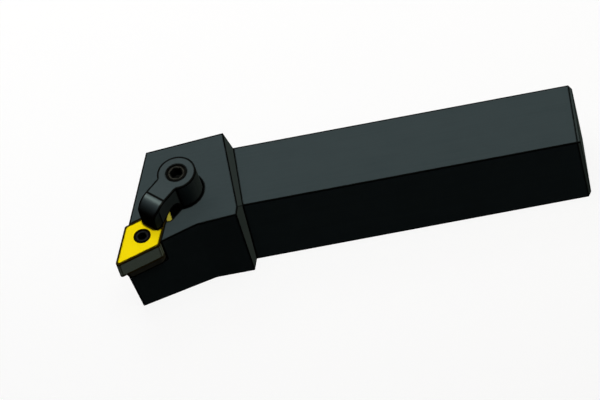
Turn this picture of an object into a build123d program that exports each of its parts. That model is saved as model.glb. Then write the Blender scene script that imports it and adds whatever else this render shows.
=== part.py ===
from build123d import *

import os
from math import cos, radians, sin, tan

# External turning tool, right hand, with a clamped 55 degree diamond insert.
# Frame: millimetres, +X along the shank to its rear end, +Y to the locating side, +Z up.
# The origin is on the seat face, midway across the shank, at the shoulder where it meets the head.

# Shank
shank_width = 25.0
shank_height = 25.0
shank_end_chamfer = 1.0
overall_length = 150.0  # sharp tip to the shank's rear end
head_length = 42.5  # sharp tip to the shoulder, along the shank
tip_offset = 40.9  # locating side to the sharp tip, across the shank
tip_height = shank_height  # the tip cuts at the height of the shank's top

# Rake plane: it holds the insert's top and the head's top, and rises from the tip along the diagonal
edge_lead = 15.0  # main cutting edge off the shank's axis, degrees
insert_angle = 55.0  # corner angle of the diamond, degrees
rake_tilt = 7.5  # rise of the rake plane along the insert's long diagonal, degrees

# Insert, flat topped and double sided
insert_circle = 12.7  # inscribed circle, diameter
insert_thickness = 6.35
insert_bore = 5.16
nose_radius = 0.8

# Shim under the insert
shim_thickness = 3.18
shim_setback = 0.5
shim_corner_radius = 2.2
shim_bore_clearance = 0.3
shim_edge_chamfer = 0.2

# Lock pin, which holds the shim by its collar and the insert by its head
pin_head_clearance = 0.12  # between the head and the insert's bore
pin_recess = 0.1  # top of the pin below the insert's top
pin_head_chamfer = 0.4
pin_collar_diameter = 7.4
pin_collar_height = 1.2
pin_collar_clearance = 0.15
pin_thread_diameter = 6.0
pin_thread_length = 9.0
pin_key = 2.5  # across the flats of the hex socket
pin_key_depth = 3.0

# Head, whose walls lean inwards from the height of the tip downwards
front_setback = 1.2  # front wall behind the end cutting edge
front_lean = 6.2
side_setback = 1.1  # front part of the side wall behind the main cutting edge
side_lean = 4.5
rear_side_width = 19.8  # centre line to the rear part of the side wall
rear_side_lean = 6.1
bend_radius = 6.0  # where the two parts of the side wall meet
nose_edge_radius = 0.4  # where the front wall and the side wall meet, under the tip
shoulder_slope = 16.2  # slope from the shank's top up to the head, off the vertical
shoulder_turn = 14.5  # slope from the shank's side out to the head, off the cross-section
shoulder_lean = 2.2
pocket_run_out = 10.0  # pocket past the diamond's two outer corners
tool_clearance = 1.0  # start of each cut above the rake plane

# Clamp, on a line with the insert's long diagonal
clamp_distance = 20.5  # insert's bore to the clamp screw
boss_radius = 6.2
boss_height = 9.2  # above the rake plane
boss_depth = 7.0  # below the rake plane
boss_recess_clearance = 0.8
boss_recess_lead = 0.4  # recess nearer the tip than the boss
boss_recess_depth = 8.0
arm_half_width = 3.8
foot_front = 4.05  # insert's bore to the front of the foot
foot_length = 2.2
foot_corner_run = 2.5  # cut off the foot's near corner, along the arm
foot_corner_cut = 1.15  # and across it
foot_far_corner = 0.6
nose_curve = 5.75  # radius from the front of the nose up to the arm's top
heel_height = 0.9  # upright back of the foot, up to the arch
arch_rise = 2.65  # above the rake plane, part way from the foot
arch_rise_run = 3.3  # from the foot's back to that place
arch_height = 4.3  # above the rake plane, at the web
arch_corner_radius = 2.5  # between the arch and the web
web_front = 5.9  # clamp screw to the front of the web under the arm
web_depth = 4.0
slot_clearance = 0.5
slot_lead = 5.3  # slot's front end before the insert's inner corner
slot_corner_radius = 1.5
slot_depth = 5.5

# Clamp screw, threaded at both ends, with a hex socket in each end
screw_diameter = 6.0
screw_length = 25.0
screw_recess = 0.1  # top of the screw below the top of the boss
screw_end_chamfer = 0.3
screw_key = 3.5
screw_key_depth = 3.5
thread_clearance = 0.05  # radial, between a screw and its tapped hole

# Places that follow from the sizes above
shank_length = overall_length - head_length
insert_edge = insert_circle / sin(radians(insert_angle))
half_diagonal = insert_edge * cos(radians(insert_angle / 2))
half_width = insert_edge * sin(radians(insert_angle / 2))
diagonal_heading = radians(edge_lead + insert_angle / 2)
clamp_place = half_diagonal + clamp_distance
foot_place = half_diagonal + foot_front
slot_half_width = arm_half_width + slot_clearance
slot_front = 2 * half_diagonal - slot_lead
slot_length = clamp_place - slot_front
seat_depth = insert_thickness + shim_thickness
through = shank_height + boss_height + shank_width

tip = Vector(-head_length, shank_width / 2 - tip_offset, tip_height)
rise = radians(rake_tilt)
along = Vector(cos(diagonal_heading) * cos(rise), sin(diagonal_heading) * cos(rise), sin(rise))
upward = Vector(-cos(diagonal_heading) * sin(rise), -sin(diagonal_heading) * sin(rise), cos(rise))

# The rake plane's own X runs along the diagonal from the tip, its Y across, its Z out of the metal.
# The profile plane stands on the diagonal, with the same X and with Y out of the metal.
rake = Plane(origin=tip, x_dir=along, z_dir=upward)
profile = Plane(origin=tip, x_dir=along, z_dir=-rake.y_dir)


def wall(heading, distance, lean=0.0):
    """An upright wall facing the heading, as its normal, its distance at tip height, and its lean."""
    angle = radians(heading)
    return cos(angle), sin(angle), distance, tan(radians(lean))


def wall_through(heading, x, y, setback=0.0, lean=0.0):
    """The wall with that heading which passes a place at tip height, set back from it."""
    angle = radians(heading)
    return wall(heading, x * cos(angle) + y * sin(angle) - setback, lean)


def corner(first, second, height):
    """Where two walls meet at a height, in plan."""
    ax, ay, a, a_lean = first
    bx, by, b, b_lean = second
    a += (height - tip_height) * a_lean
    b += (height - tip_height) * b_lean
    scale = ax * by - ay * bx
    return (a * by - b * ay) / scale, (ax * b - bx * a) / scale


far_wall = wall(90, shank_width / 2)
front_wall = wall_through(edge_lead + insert_angle + 90, tip.X, tip.Y, front_setback, front_lean)
side_wall = wall_through(edge_lead - 90, tip.X, tip.Y, side_setback, side_lean)
rear_side_wall = wall(-90, rear_side_width, rear_side_lean)
shoulder_wall = wall_through(-shoulder_turn, 0, -shank_width / 2, lean=-shoulder_lean)
head_walls = [far_wall, front_wall, side_wall, rear_side_wall, shoulder_wall]


def head_outline(height):
    """The head's corners at a height, in order around it."""
    following = head_walls[1:] + head_walls[:1]
    return [corner(one, other, height) for one, other in zip(head_walls, following)]


def diamond():
    """The insert's sharp outline on the rake plane, tip first."""
    return Polygon(
        (0, 0),
        (half_diagonal, -half_width),
        (2 * half_diagonal, 0),
        (half_diagonal, half_width),
        align=None,
    )


def pocket_outline():
    """The diamond with its inner corner kept and its outer edges run out past the head."""
    reach = insert_edge + pocket_run_out
    run = reach * cos(radians(insert_angle / 2))
    spread = reach * sin(radians(insert_angle / 2))
    inner = 2 * half_diagonal
    return Polygon((inner, 0), (inner - run, spread), (inner - 2 * run, 0), (inner - run, -spread), align=None)


# Toolholder: shank and head, cut from one bar
bend = corner(side_wall, rear_side_wall, tip_height)
nose = corner(front_wall, side_wall, tip_height)
stock_height = shank_height + head_length * tan(rise) + boss_height
with BuildPart() as toolholder:
    for level in (0, stock_height):
        with BuildSketch(Plane.XY.offset(level)):
            Polygon(*head_outline(level), align=None)
    loft(ruled=True)
    fillet(toolholder.edges().sort_by_distance((*bend, tip_height))[0], radius=bend_radius)
    fillet(toolholder.edges().sort_by_distance((*nose, tip_height))[0], radius=nose_edge_radius)
    shoulder_plane = Plane(origin=(0, 0, shank_height), z_dir=(1, 0, tan(radians(shoulder_slope))))
    split(bisect_by=shoulder_plane, keep=Keep.BOTTOM)
    split(bisect_by=rake, keep=Keep.BOTTOM)

    with BuildSketch(Plane.YZ.offset(-shank_width / 4)):
        with Locations((0, shank_height / 2)):
            Rectangle(shank_width, shank_height)
    extrude(amount=shank_length + shank_width / 4)
    chamfer(toolholder.faces().sort_by(Axis.X)[-1].edges(), length=shank_end_chamfer)

    with BuildSketch(rake.offset(tool_clearance)):
        pocket_outline()
    extrude(amount=-(tool_clearance + seat_depth), mode=Mode.SUBTRACT)
    with BuildSketch(rake.offset(tool_clearance)):
        with Locations((slot_front, 0)):
            RectangleRounded(slot_length, 2 * slot_half_width, slot_corner_radius, align=(Align.MIN, Align.CENTER))
    extrude(amount=-(tool_clearance + slot_depth), mode=Mode.SUBTRACT)
    with BuildSketch(rake.offset(tool_clearance)):
        with Locations((clamp_place - boss_recess_lead, 0)):
            Circle(boss_radius + boss_recess_clearance)
    extrude(amount=-(tool_clearance + boss_recess_depth), mode=Mode.SUBTRACT)

    with BuildSketch(rake):
        with Locations((clamp_place, 0)):
            Circle(screw_diameter / 2 + thread_clearance)
        with Locations((half_diagonal, 0)):
            Circle(pin_thread_diameter / 2 + thread_clearance)
    extrude(amount=-through, mode=Mode.SUBTRACT)
toolholder.part.label = "toolholder"

# Insert: a sharp-edged diamond with a plain bore
with BuildPart() as insert:
    with BuildSketch(rake) as insert_face:
        diamond()
        fillet(insert_face.vertices(), radius=nose_radius)
        with Locations((half_diagonal, 0)):
            Circle(insert_bore / 2, mode=Mode.SUBTRACT)
    extrude(amount=-insert_thickness)
insert.part.label = "insert"

# Shim: a smaller diamond, counterbored for the lock pin's collar
upright = Axis(tip, upward)
shim_top = rake.offset(-insert_thickness)
collar_radius = pin_collar_diameter / 2
with BuildPart() as shim:
    with BuildSketch(shim_top):
        diamond()
        offset(amount=-shim_setback, kind=Kind.INTERSECTION)
    extrude(amount=-shim_thickness)
    fillet(shim.edges().filter_by(upright), radius=shim_corner_radius)
    chamfer(shim.faces().sort_by(upright)[-1].edges(), length=shim_edge_chamfer)
    with BuildSketch(shim_top):
        with Locations((half_diagonal, 0)):
            Circle(collar_radius + pin_collar_clearance)
    extrude(amount=-pin_collar_height, mode=Mode.SUBTRACT)
    with BuildSketch(shim_top):
        with Locations((half_diagonal, 0)):
            Circle(pin_thread_diameter / 2 + shim_bore_clearance)
    extrude(amount=-shim_thickness, mode=Mode.SUBTRACT)
shim.part.label = "shim"


def hexagon(across_flats):
    """The outline of a socket for a hex key."""
    return RegularPolygon(across_flats / 2, 6, major_radius=False)


# Lock pin: a thread, a collar on the shim and a plain head in the insert's bore
head_radius = insert_bore / 2 - pin_head_clearance
thread_radius = pin_thread_diameter / 2
collar_seat = -insert_thickness - pin_collar_height
pin_top = -pin_recess
pin_bottom = -seat_depth - pin_thread_length
with BuildPart() as lock_pin:
    with BuildSketch(profile):
        with BuildLine():
            Polyline(
                (half_diagonal, pin_bottom),
                (half_diagonal + thread_radius - pin_head_chamfer, pin_bottom),
                (half_diagonal + thread_radius, pin_bottom + pin_head_chamfer),
                (half_diagonal + thread_radius, collar_seat),
                (half_diagonal + collar_radius, collar_seat),
                (half_diagonal + collar_radius, -insert_thickness),
                (half_diagonal + head_radius, -insert_thickness),
                (half_diagonal + head_radius, pin_top - pin_head_chamfer),
                (half_diagonal + head_radius - pin_head_chamfer, pin_top),
                (half_diagonal, pin_top),
                close=True,
            )
        make_face()
    revolve(axis=Axis(rake.from_local_coords((half_diagonal, 0, 0)), upward))
    with BuildSketch(rake.offset(pin_top)):
        with Locations((half_diagonal, 0)):
            hexagon(pin_key)
    extrude(amount=-pin_key_depth, mode=Mode.SUBTRACT)
lock_pin.part.label = "lock_pin"

# Clamp: a boss on the screw, and an arm that arches over the slot and bears on the insert
nose_end = foot_place + nose_curve
foot_back = foot_place + foot_length
web_place = clamp_place - web_front
with BuildPart() as clamp:
    with BuildSketch(profile) as clamp_side:
        with BuildLine():
            Line((foot_back, 0), (foot_place, 0))
            Line((foot_place, 0), (foot_place, boss_height - nose_curve))
            RadiusArc((foot_place, boss_height - nose_curve), (nose_end, boss_height), nose_curve)
            Line((nose_end, boss_height), (clamp_place, boss_height))
            Line((clamp_place, boss_height), (clamp_place, -web_depth))
            Line((clamp_place, -web_depth), (web_place, -web_depth))
            Line((web_place, -web_depth), (web_place, arch_height))
            ThreePointArc((web_place, arch_height), (foot_back + arch_rise_run, arch_rise), (foot_back, heel_height))
            Line((foot_back, heel_height), (foot_back, 0))
        make_face()
        arch_corner = clamp_side.vertices().sort_by_distance((web_place, arch_height))[0]
        fillet(arch_corner, radius=arch_corner_radius)
    extrude(amount=2 * boss_radius, both=True)
    with BuildSketch(rake.offset(boss_height)):
        Polygon(
            (foot_place, arm_half_width - foot_far_corner),
            (foot_place, foot_corner_cut - arm_half_width),
            (foot_place + foot_corner_run, -arm_half_width),
            (clamp_place, -arm_half_width),
            (clamp_place, arm_half_width),
            (foot_place + foot_far_corner, arm_half_width),
            align=None,
        )
    extrude(amount=-(boss_height + web_depth), mode=Mode.INTERSECT)
    with BuildSketch(rake.offset(-boss_depth)):
        with Locations((clamp_place, 0)):
            Circle(boss_radius)
    extrude(amount=boss_depth + boss_height)
    with BuildSketch(rake.offset(boss_height)):
        with Locations((clamp_place, 0)):
            Circle(screw_diameter / 2 + thread_clearance)
    extrude(amount=-(boss_height + boss_depth), mode=Mode.SUBTRACT)
clamp.part.label = "clamp"

# Clamp screw: a threaded rod with a socket in each end
screw_top = boss_height - screw_recess
with BuildPart() as clamp_screw:
    with BuildSketch(rake.offset(screw_top)):
        with Locations((clamp_place, 0)):
            Circle(screw_diameter / 2)
    extrude(amount=-screw_length)
    chamfer(clamp_screw.edges().filter_by(GeomType.CIRCLE), length=screw_end_chamfer)
    for socket_mouth in (screw_top, screw_top - screw_length + screw_key_depth):
        with BuildSketch(rake.offset(socket_mouth)):
            with Locations((clamp_place, 0)):
                hexagon(screw_key)
        extrude(amount=-screw_key_depth, mode=Mode.SUBTRACT)
clamp_screw.part.label = "clamp_screw"

os.makedirs("parts", exist_ok=True)
for piece in (toolholder, insert, shim, lock_pin, clamp, clamp_screw):
    export_step(piece.part, f"parts/{piece.part.label}.step")
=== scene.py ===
import bpy
from mathutils import Matrix, Vector


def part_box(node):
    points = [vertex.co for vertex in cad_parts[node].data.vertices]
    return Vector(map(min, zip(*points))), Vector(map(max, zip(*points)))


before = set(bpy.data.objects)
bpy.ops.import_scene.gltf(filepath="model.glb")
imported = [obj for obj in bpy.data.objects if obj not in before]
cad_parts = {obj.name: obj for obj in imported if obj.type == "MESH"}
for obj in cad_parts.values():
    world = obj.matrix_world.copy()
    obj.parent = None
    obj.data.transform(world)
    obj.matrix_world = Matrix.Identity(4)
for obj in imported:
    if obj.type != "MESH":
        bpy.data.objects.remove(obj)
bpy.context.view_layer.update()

# Places and lengths are in metres, in the part's own frame. Colours are linear.

# The picture: parallel projection, seen from above the near side, turned a little clockwise
VIEW_RIGHT = Vector((0.9826, -0.11785, -0.14358))
VIEW_UP = Vector((0.18425, 0.71655, 0.67276))
VIEW_CENTRE = Vector((0.01797, -0.01341, 0.02355))
VIEW_WIDTH = 0.18743
CAMERA_DISTANCE = 0.6

# The clamp and the insert lie along the insert's long diagonal, which rises from the cutting tip.
ALONG = (0.7310, 0.6698, 0.1305)
UPRIGHT = (-0.0962, -0.0882, 0.9914)

# A span is (start, end), and a value is brought from one span to another. These are the two plain ones.
FULL = (0.0, 1.0)
FALLING = (1.0, 0.0)

# Edge lines: a bevel's reach from the edge, and how well its direction still agrees with the face's own
HOLDER_REACH = 0.0010
SMALL_PIECE_REACH = 0.0012
CLAMP_REACH = 0.0013
INSERT_REACH = 0.0016
EDGE_AGREEMENT = (0.997, 0.985)
# Black for the edge lines and the nose line, and for the painted shade in narrow places and on the
# clamp's nose front
EDGE_AND_SHADE_BLACK = (0.0025, 0.0028, 0.0026)

# Painted shade in narrow places, such as the slot, the recess and beside the clamp's foot: how near
# another surface has to be, and how open the place still is
HOLLOW_SHADE_REACH = 0.005
HOLLOW_SHADE_OPENNESS = (0.50, 0.25)
FOOT_SHADE_REACH = 0.0022
FOOT_SHADE_OPENNESS = (0.75, 0.65)
SAMPLES = 16  # taken at each point, for these and for the edge lines

# The clamp's nose: the line where its round meets the flat is counted along from the clamp screw. Its
# front, which faces the cutting tip, gets painted shade.
NOSE_LINE = -0.0106
NOSE_LINE_FADE = (0.00025, 0.0005)
NOSE_TOP = (0.90, 0.95)
NOSE_SHADE_FACING = (-0.5, -0.9)

# The insert: where its uncoated flanks end behind its centre, its bore, and which faces are its sides
FLANK_END = (0.0040, 0.0048)
BORE_RADIUS = 0.00258
BORE_LINE = (1.07 * BORE_RADIUS, 1.11 * BORE_RADIUS)
CLEAR_OF_BORE = (1.45 * BORE_RADIUS, 1.50 * BORE_RADIUS)
SIDE_FACE = (0.3, 0.7)

# Patterns: a scale is in patches to the metre, and a stretch under 1 draws them out along that axis
NOISE_SPAN = (0.3, 0.7)
EVEN = (1.0, 1.0, 1.0)
ALONG_SHANK = (0.02, 1.0, 1.0)
LEVEL = (0.05, 0.05, 1.0)

# Steel: how much each pattern adds to the colour, the relief and the roughness
STEEL_CLOUDS = 110
STEEL_GRAIN = 3200
LINE_SHARE = (0.25, 0.75)
CLOUD_SHARE = (0.0, 0.6)
GRAIN_SHARE = (0.0, 0.25)
LINE_HEIGHT = 0.6
ROUGHER = 0.06
SMOOTHER = 0.05
HOLDER_LIGHT = (0.045, 0.061, 0.064)
HOLDER_DARK = (0.036, 0.050, 0.053)
CLAMP_LIGHT = (0.031, 0.042, 0.045)
CLAMP_DARK = (0.025, 0.034, 0.037)
SCREW_LIGHT = (0.031, 0.031, 0.026)
SCREW_DARK = (0.022, 0.022, 0.018)
PIN_LIGHT = (0.016, 0.016, 0.020)
PIN_DARK = (0.010, 0.010, 0.014)

# The insert's coating and its uncoated flanks. The seated flanks are painted a paler, brighter gold
# than the top, as painted light.
INSERT_CLOUDS = 260
INSERT_GRAIN = 5200
GOLD_SHARE = (0.0, 0.35)
FLANK_SHARE = (0.0, 0.8)
INSERT_METALLIC = (0.05, 0.20)
INSERT_ROUGHNESS = (0.42, 0.32)
INSERT_RELIEF = 0.000002
GOLD_LIGHT = (0.75, 0.59, 0.003)
GOLD_DARK = (0.71, 0.545, 0.003)
GOLD_PAINTED_LIT = (1.0, 0.93, 0.12)
GOLD_EDGE_AND_SHADE = (0.020, 0.013, 0.001)
FLANK_LIGHT = (0.135, 0.165, 0.13)
FLANK_DARK = (0.10, 0.122, 0.096)

# The shim
SHIM_CLOUDS = 220
SHIM_LINES = 4200
SHIM_METALLIC = 0.15
SHIM_ROUGHNESS = (0.36, 0.48)
SHIM_RELIEF = 0.000003
CARBIDE_LIGHT = (0.032, 0.031, 0.024)
CARBIDE_DARK = (0.018, 0.017, 0.013)

# Floor and light
FLOOR_SIZE = 6
FLOOR_WHITE = (0.97, 0.97, 0.97)
FLOOR_BOUNCE = (0.025, 0.025, 0.025)
FLOOR_GLOW = 0.75
AMBIENT = 0.018
LAMP_DISTANCE = 0.9
WHITE = (1.0, 1.0, 1.0)
WARM = (1.0, 0.92, 0.72)
FAINTLY_WARM = (1.0, 0.94, 0.82)
GRAZING_TINT = (0.1, 0.1, 0.1)


def add_node(tree, kind, inputs=(), **settings):
    """A node with its settings; each input takes a number, a colour or another node's output."""
    made = tree.nodes.new("ShaderNode" + kind)
    for name, value in settings.items():
        setattr(made, name, value)
    for socket, value in dict(inputs).items():
        if isinstance(value, bpy.types.NodeSocket):
            tree.links.new(value, made.inputs[socket])
        else:
            made.inputs[socket].default_value = value
    return made


def calculated(tree, operation, *values):
    """The result of one step of arithmetic."""
    return add_node(tree, "Math", dict(enumerate(values)), operation=operation).outputs["Value"]


def ranged(tree, value, span, wanted=FULL):
    """A value brought from its span to the wanted one and kept inside it."""
    (start, end), (low, high) = span, wanted
    inputs = {"Value": value, "From Min": start, "From Max": end, "To Min": low, "To Max": high}
    return add_node(tree, "MapRange", inputs).outputs["Result"]


def noise(tree, stretch, scale, detail=3.0):
    """Noise over the part's own places, from nothing to one."""
    places = add_node(tree, "TexCoord").outputs["Object"]
    stretched = add_node(tree, "Mapping", {"Vector": places, "Scale": stretch}).outputs["Vector"]
    pattern = add_node(tree, "TexNoise", {"Vector": stretched, "Scale": scale, "Detail": detail})
    return ranged(tree, pattern.outputs["Fac"], NOISE_SPAN)


def colour_mix(tree, share, first, second):
    """A share of the second colour laid over the first; either may be another node's output."""
    inputs = {0: share}
    for socket, colour in ((6, first), (7, second)):
        inputs[socket] = colour if isinstance(colour, bpy.types.NodeSocket) else (*colour, 1)
    return add_node(tree, "Mix", inputs, data_type="RGBA").outputs[2]


def middle(node):
    """The centre of a piece's box, which lies on the axis of a round or a diamond piece."""
    low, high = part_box(node)
    return (Vector(low) + Vector(high)) / 2


def offset_from(tree, place):
    """Where a point of the surface lies, counted from a place."""
    points = add_node(tree, "TexCoord").outputs["Object"]
    return add_node(tree, "VectorMath", {0: points, 1: place}, operation="SUBTRACT").outputs["Vector"]


def part_along(tree, vector, direction):
    """How far a vector goes in a direction."""
    inputs = {0: vector, 1: direction}
    return add_node(tree, "VectorMath", inputs, operation="DOT_PRODUCT").outputs["Value"]


def away_from_axis(tree, offset, axis):
    """How far a point lies from an axis, where its offset is counted from a place on that axis."""
    across = add_node(tree, "VectorMath", {0: offset, 1: axis}, operation="CROSS_PRODUCT")
    inputs = {0: across.outputs["Vector"]}
    return add_node(tree, "VectorMath", inputs, operation="LENGTH").outputs["Value"]


def facing(tree, direction):
    """How far the surface faces a direction: one straight towards it, nothing across it."""
    return part_along(tree, add_node(tree, "TexCoord").outputs["Normal"], direction)


def edge_line(tree, reach):
    """One on the piece's edges, falling to nothing a little way from them."""
    rounded = add_node(tree, "Bevel", {"Radius": reach}, samples=SAMPLES).outputs["Normal"]
    plain = add_node(tree, "NewGeometry").outputs["Normal"]
    return ranged(tree, part_along(tree, rounded, plain), EDGE_AGREEMENT)


def painted_shade_in_hollows(tree, reach, openness):
    """Painted shade: one where another surface stands near, nothing on open faces."""
    opening = add_node(tree, "AmbientOcclusion", {"Distance": reach}, samples=SAMPLES).outputs["AO"]
    return ranged(tree, opening, openness)


def painted_shade_on_nose_front(tree):
    """Painted shade: one on the lower front of the clamp's nose, which faces the cutting tip."""
    return ranged(tree, facing(tree, ALONG), NOSE_SHADE_FACING)


def nose_line(tree):
    """One on a fine line across the clamp's top, where the round of the nose ends."""
    reach = part_along(tree, offset_from(tree, middle("clamp_screw")), ALONG)
    away = calculated(tree, "ABSOLUTE", calculated(tree, "SUBTRACT", reach, NOSE_LINE))
    line = ranged(tree, away, NOSE_LINE_FADE, FALLING)
    return calculated(tree, "MULTIPLY", line, ranged(tree, facing(tree, UPRIGHT), NOSE_TOP))


def new_material(name):
    """A material, its node tree and its surface shader."""
    material = bpy.data.materials.new(name)
    material.use_nodes = True
    tree = material.node_tree
    return material, tree, tree.nodes["Principled BSDF"]


def new_metal(name):
    """A metal finish: its gloss takes the surface's own colour and stays weak at grazing angles."""
    material, tree, shader = new_material(name)
    shader.inputs["Specular IOR Level"].default_value = 0.0
    shader.inputs["Specular Tint"].default_value = (*GRAZING_TINT, 1)
    return material, tree, shader


def set_bump(tree, shader, height, depth):
    """Fine relief of this depth, by shading alone."""
    bump = add_node(tree, "Bump", {"Height": height, "Strength": 1.0, "Distance": depth})
    tree.links.new(bump.outputs["Normal"], shader.inputs["Normal"])


def blackened_steel(name, light, dark, metallic, roughness, stretch, scale, depth, reach, nose=False):
    """Black oxide on machined steel: cloudy tone, fine tool lines, grain and dark edges, with painted
    shade in narrow places. With nose, also painted shade on the nose's front and a dark line where its
    round ends.

    The tool lines have the stretch, scale and depth; reach is that of the edge lines.
    """
    material, tree, shader = new_metal(name)
    shader.inputs["Metallic"].default_value = metallic
    clouds = noise(tree, EVEN, STEEL_CLOUDS)
    lines = noise(tree, stretch, scale, detail=2.0)
    grain = noise(tree, EVEN, STEEL_GRAIN, detail=1.0)
    tone = colour_mix(tree, ranged(tree, lines, FULL, LINE_SHARE), dark, light)
    tone = colour_mix(tree, ranged(tree, clouds, FULL, CLOUD_SHARE), tone, light)
    tone = colour_mix(tree, ranged(tree, grain, FULL, GRAIN_SHARE), tone, dark)
    # Dark edge lines and painted shade in narrow places; on the clamp also painted shade on the nose's
    # front and the dark nose line
    dark_lines_and_painted_shade = [edge_line(tree, reach), painted_shade_in_hollows(tree, HOLLOW_SHADE_REACH, HOLLOW_SHADE_OPENNESS)]
    if nose:
        dark_lines_and_painted_shade += [painted_shade_on_nose_front(tree), nose_line(tree)]
    for share in dark_lines_and_painted_shade:
        tone = colour_mix(tree, share, tone, EDGE_AND_SHADE_BLACK)
    tree.links.new(tone, shader.inputs["Base Color"])
    uneven = ranged(tree, clouds, FULL, (roughness + ROUGHER, roughness - SMOOTHER))
    tree.links.new(uneven, shader.inputs["Roughness"])
    set_bump(tree, shader, calculated(tree, "MULTIPLY_ADD", lines, LINE_HEIGHT, grain), depth)
    return material


def coated_carbide(name):
    """Golden coating on the flat faces and on the seated flanks, which are painted a paler, brighter
    gold as painted light; the cutting flanks are dark grey.
    """
    material, tree, shader = new_metal(name)
    clouds = noise(tree, EVEN, INSERT_CLOUDS)
    grain = noise(tree, EVEN, INSERT_GRAIN, detail=1.0)
    place = offset_from(tree, middle("insert"))
    forward = ranged(tree, part_along(tree, place, ALONG), FLANK_END, FALLING)
    side_face = ranged(tree, facing(tree, UPRIGHT), SIDE_FACE, FALLING)
    uncoated = calculated(tree, "MULTIPLY", forward, side_face)
    from_axis = away_from_axis(tree, place, UPRIGHT)
    bore = ranged(tree, from_axis, BORE_LINE, FALLING)
    clear_of_bore = ranged(tree, from_axis, CLEAR_OF_BORE)
    outer_edges = calculated(tree, "MULTIPLY", edge_line(tree, INSERT_REACH), clear_of_bore)
    gold = colour_mix(tree, ranged(tree, clouds, FULL, GOLD_SHARE), GOLD_LIGHT, GOLD_DARK)
    flank = colour_mix(tree, ranged(tree, grain, FULL, FLANK_SHARE), FLANK_LIGHT, FLANK_DARK)
    # Painted light: the seated flanks are painted a paler, brighter gold than the top
    tone = colour_mix(tree, side_face, gold, GOLD_PAINTED_LIT)
    tone = colour_mix(tree, uncoated, tone, flank)
    # Dark edge and bore lines, and painted shade where another surface stands near, as by the clamp's
    # foot
    for share in (outer_edges, bore, painted_shade_in_hollows(tree, FOOT_SHADE_REACH, FOOT_SHADE_OPENNESS)):
        tone = colour_mix(tree, share, tone, GOLD_EDGE_AND_SHADE)
    tree.links.new(tone, shader.inputs["Base Color"])
    tree.links.new(ranged(tree, uncoated, FULL, INSERT_METALLIC), shader.inputs["Metallic"])
    tree.links.new(ranged(tree, clouds, FULL, INSERT_ROUGHNESS), shader.inputs["Roughness"])
    set_bump(tree, shader, grain, INSERT_RELIEF)
    return material


def ground_carbide(name):
    """Plain cemented carbide with fine grinding lines."""
    material, tree, shader = new_metal(name)
    shader.inputs["Metallic"].default_value = SHIM_METALLIC
    clouds = noise(tree, EVEN, SHIM_CLOUDS)
    lines = noise(tree, LEVEL, SHIM_LINES, detail=2.0)
    tone = colour_mix(tree, calculated(tree, "MULTIPLY", clouds, lines), CARBIDE_LIGHT, CARBIDE_DARK)
    tone = colour_mix(tree, edge_line(tree, SMALL_PIECE_REACH), tone, EDGE_AND_SHADE_BLACK)
    tree.links.new(tone, shader.inputs["Base Color"])
    tree.links.new(ranged(tree, lines, FULL, SHIM_ROUGHNESS), shader.inputs["Roughness"])
    set_bump(tree, shader, lines, SHIM_RELIEF)
    return material


def dress(node, material):
    """Gives a carried-over piece its material in every slot."""
    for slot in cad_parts[node].material_slots:
        slot.material = material


def seen_directly(tree):
    """One for rays from the camera and for those that a glossy or clear surface sends on."""
    path = add_node(tree, "LightPath").outputs
    seen = path["Is Camera Ray"]
    for ray in ("Is Glossy Ray", "Is Transmission Ray"):
        seen = calculated(tree, "MAXIMUM", seen, path[ray])
    return seen


def floor_material():
    """White to the eye and in reflections, with part of the shadow; it throws little light back."""
    material, tree, shader = new_material("floor")
    tree.nodes.remove(shader)
    shaded = add_node(tree, "BsdfDiffuse", {"Color": (*FLOOR_WHITE, 1)}).outputs["BSDF"]
    white = add_node(tree, "Emission", {"Color": (*WHITE, 1), "Strength": 1.0}).outputs["Emission"]
    pale = add_node(tree, "MixShader", {0: FLOOR_GLOW, 1: shaded, 2: white}).outputs["Shader"]
    dim = add_node(tree, "BsdfDiffuse", {"Color": (*FLOOR_BOUNCE, 1)}).outputs["BSDF"]
    surface = add_node(tree, "MixShader", {0: seen_directly(tree), 1: dim, 2: pale}).outputs["Shader"]
    tree.links.new(surface, tree.nodes["Material Output"].inputs["Surface"])
    return material


def add_floor():
    """A wide pale floor at the height of the tool's seat."""
    bpy.ops.mesh.primitive_plane_add(size=FLOOR_SIZE, location=(0, 0, 0))
    floor = bpy.context.object
    floor.name = "floor"
    floor.data.materials.append(floor_material())


def add_world():
    """White behind everything, but only a little light from all around."""
    world = bpy.data.worlds.new("world")
    bpy.context.scene.world = world
    world.use_nodes = True
    tree = world.node_tree
    background = tree.nodes["Background"]
    background.inputs["Color"].default_value = (*WHITE, 1)
    strength = ranged(tree, seen_directly(tree), FULL, (AMBIENT, 1.0))
    tree.links.new(strength, background.inputs["Strength"])


def add_softbox(name, direction, size, power, colour=WHITE, shadow=False, diffuse=True, gloss=False):
    """A square lamp that faces the middle of the view from a direction."""
    lamp = bpy.data.lights.new(name, "AREA")
    lamp.color = colour
    lamp.size = size
    lamp.energy = power
    lamp.use_shadow = shadow
    holder = bpy.data.objects.new(name, lamp)
    bpy.context.scene.collection.objects.link(holder)
    towards = Vector(direction).normalized()
    holder.location = VIEW_CENTRE + towards * LAMP_DISTANCE
    holder.rotation_euler = towards.to_track_quat("Z", "Y").to_euler()
    holder.visible_diffuse = diffuse
    holder.visible_glossy = gloss


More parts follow.
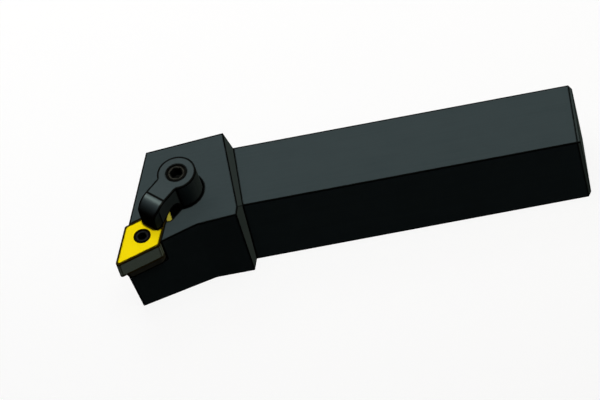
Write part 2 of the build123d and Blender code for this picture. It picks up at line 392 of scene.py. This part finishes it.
def add_camera():
    """The picture's view, without perspective."""
    data = bpy.data.cameras.new("camera")
    data.type = "ORTHO"
    data.ortho_scale = VIEW_WIDTH
    camera = bpy.data.objects.new("camera", data)
    bpy.context.scene.collection.objects.link(camera)
    right = VIEW_RIGHT.normalized()
    back = right.cross(VIEW_UP).normalized()
    up = back.cross(right)
    turn = Matrix((right, up, back)).transposed()
    camera.matrix_world = Matrix.Translation(VIEW_CENTRE + back * CAMERA_DISTANCE) @ turn.to_4x4()
    bpy.context.scene.camera = camera


dress("toolholder", blackened_steel(
    "holder_steel", HOLDER_LIGHT, HOLDER_DARK, metallic=0.02, roughness=0.48,
    stretch=ALONG_SHANK, scale=1800, depth=0.000004, reach=HOLDER_REACH))
dress("clamp", blackened_steel(
    "clamp_steel", CLAMP_LIGHT, CLAMP_DARK, metallic=0.12, roughness=0.42,
    stretch=EVEN, scale=2200, depth=0.000003, reach=CLAMP_REACH, nose=True))
dress("clamp_screw", blackened_steel(
    "screw_steel", SCREW_LIGHT, SCREW_DARK, metallic=0.2, roughness=0.34,
    stretch=EVEN, scale=2600, depth=0.000002, reach=SMALL_PIECE_REACH))
dress("lock_pin", blackened_steel(
    "pin_steel", PIN_LIGHT, PIN_DARK, metallic=0.2, roughness=0.34,
    stretch=EVEN, scale=2600, depth=0.000002, reach=SMALL_PIECE_REACH))
dress("insert", coated_carbide("insert_coating"))
dress("shim", ground_carbide("shim_carbide"))

# Only the top lamp throws a shadow, the soft one on the floor. The last lamp lights nothing by itself:
# it is only reflected, as the highlight on the clamp's nose.
add_floor()
add_world()
add_softbox("back_light", (-0.20, 0.65, 0.73), size=0.5, power=7.3)
add_softbox("top_light", (0.0, -0.10, 0.995), size=0.6, power=1.8, shadow=True)
add_softbox("right_light", (0.925, 0.337, 0.174), size=0.3, power=3.5, colour=WARM)
add_softbox(
    "highlight", (-0.455, 0.292, 0.839), size=0.15, power=20.0, colour=FAINTLY_WARM,
    diffuse=False, gloss=True)
add_camera()

bpy.context.scene.view_settings.view_transform = "Standard"
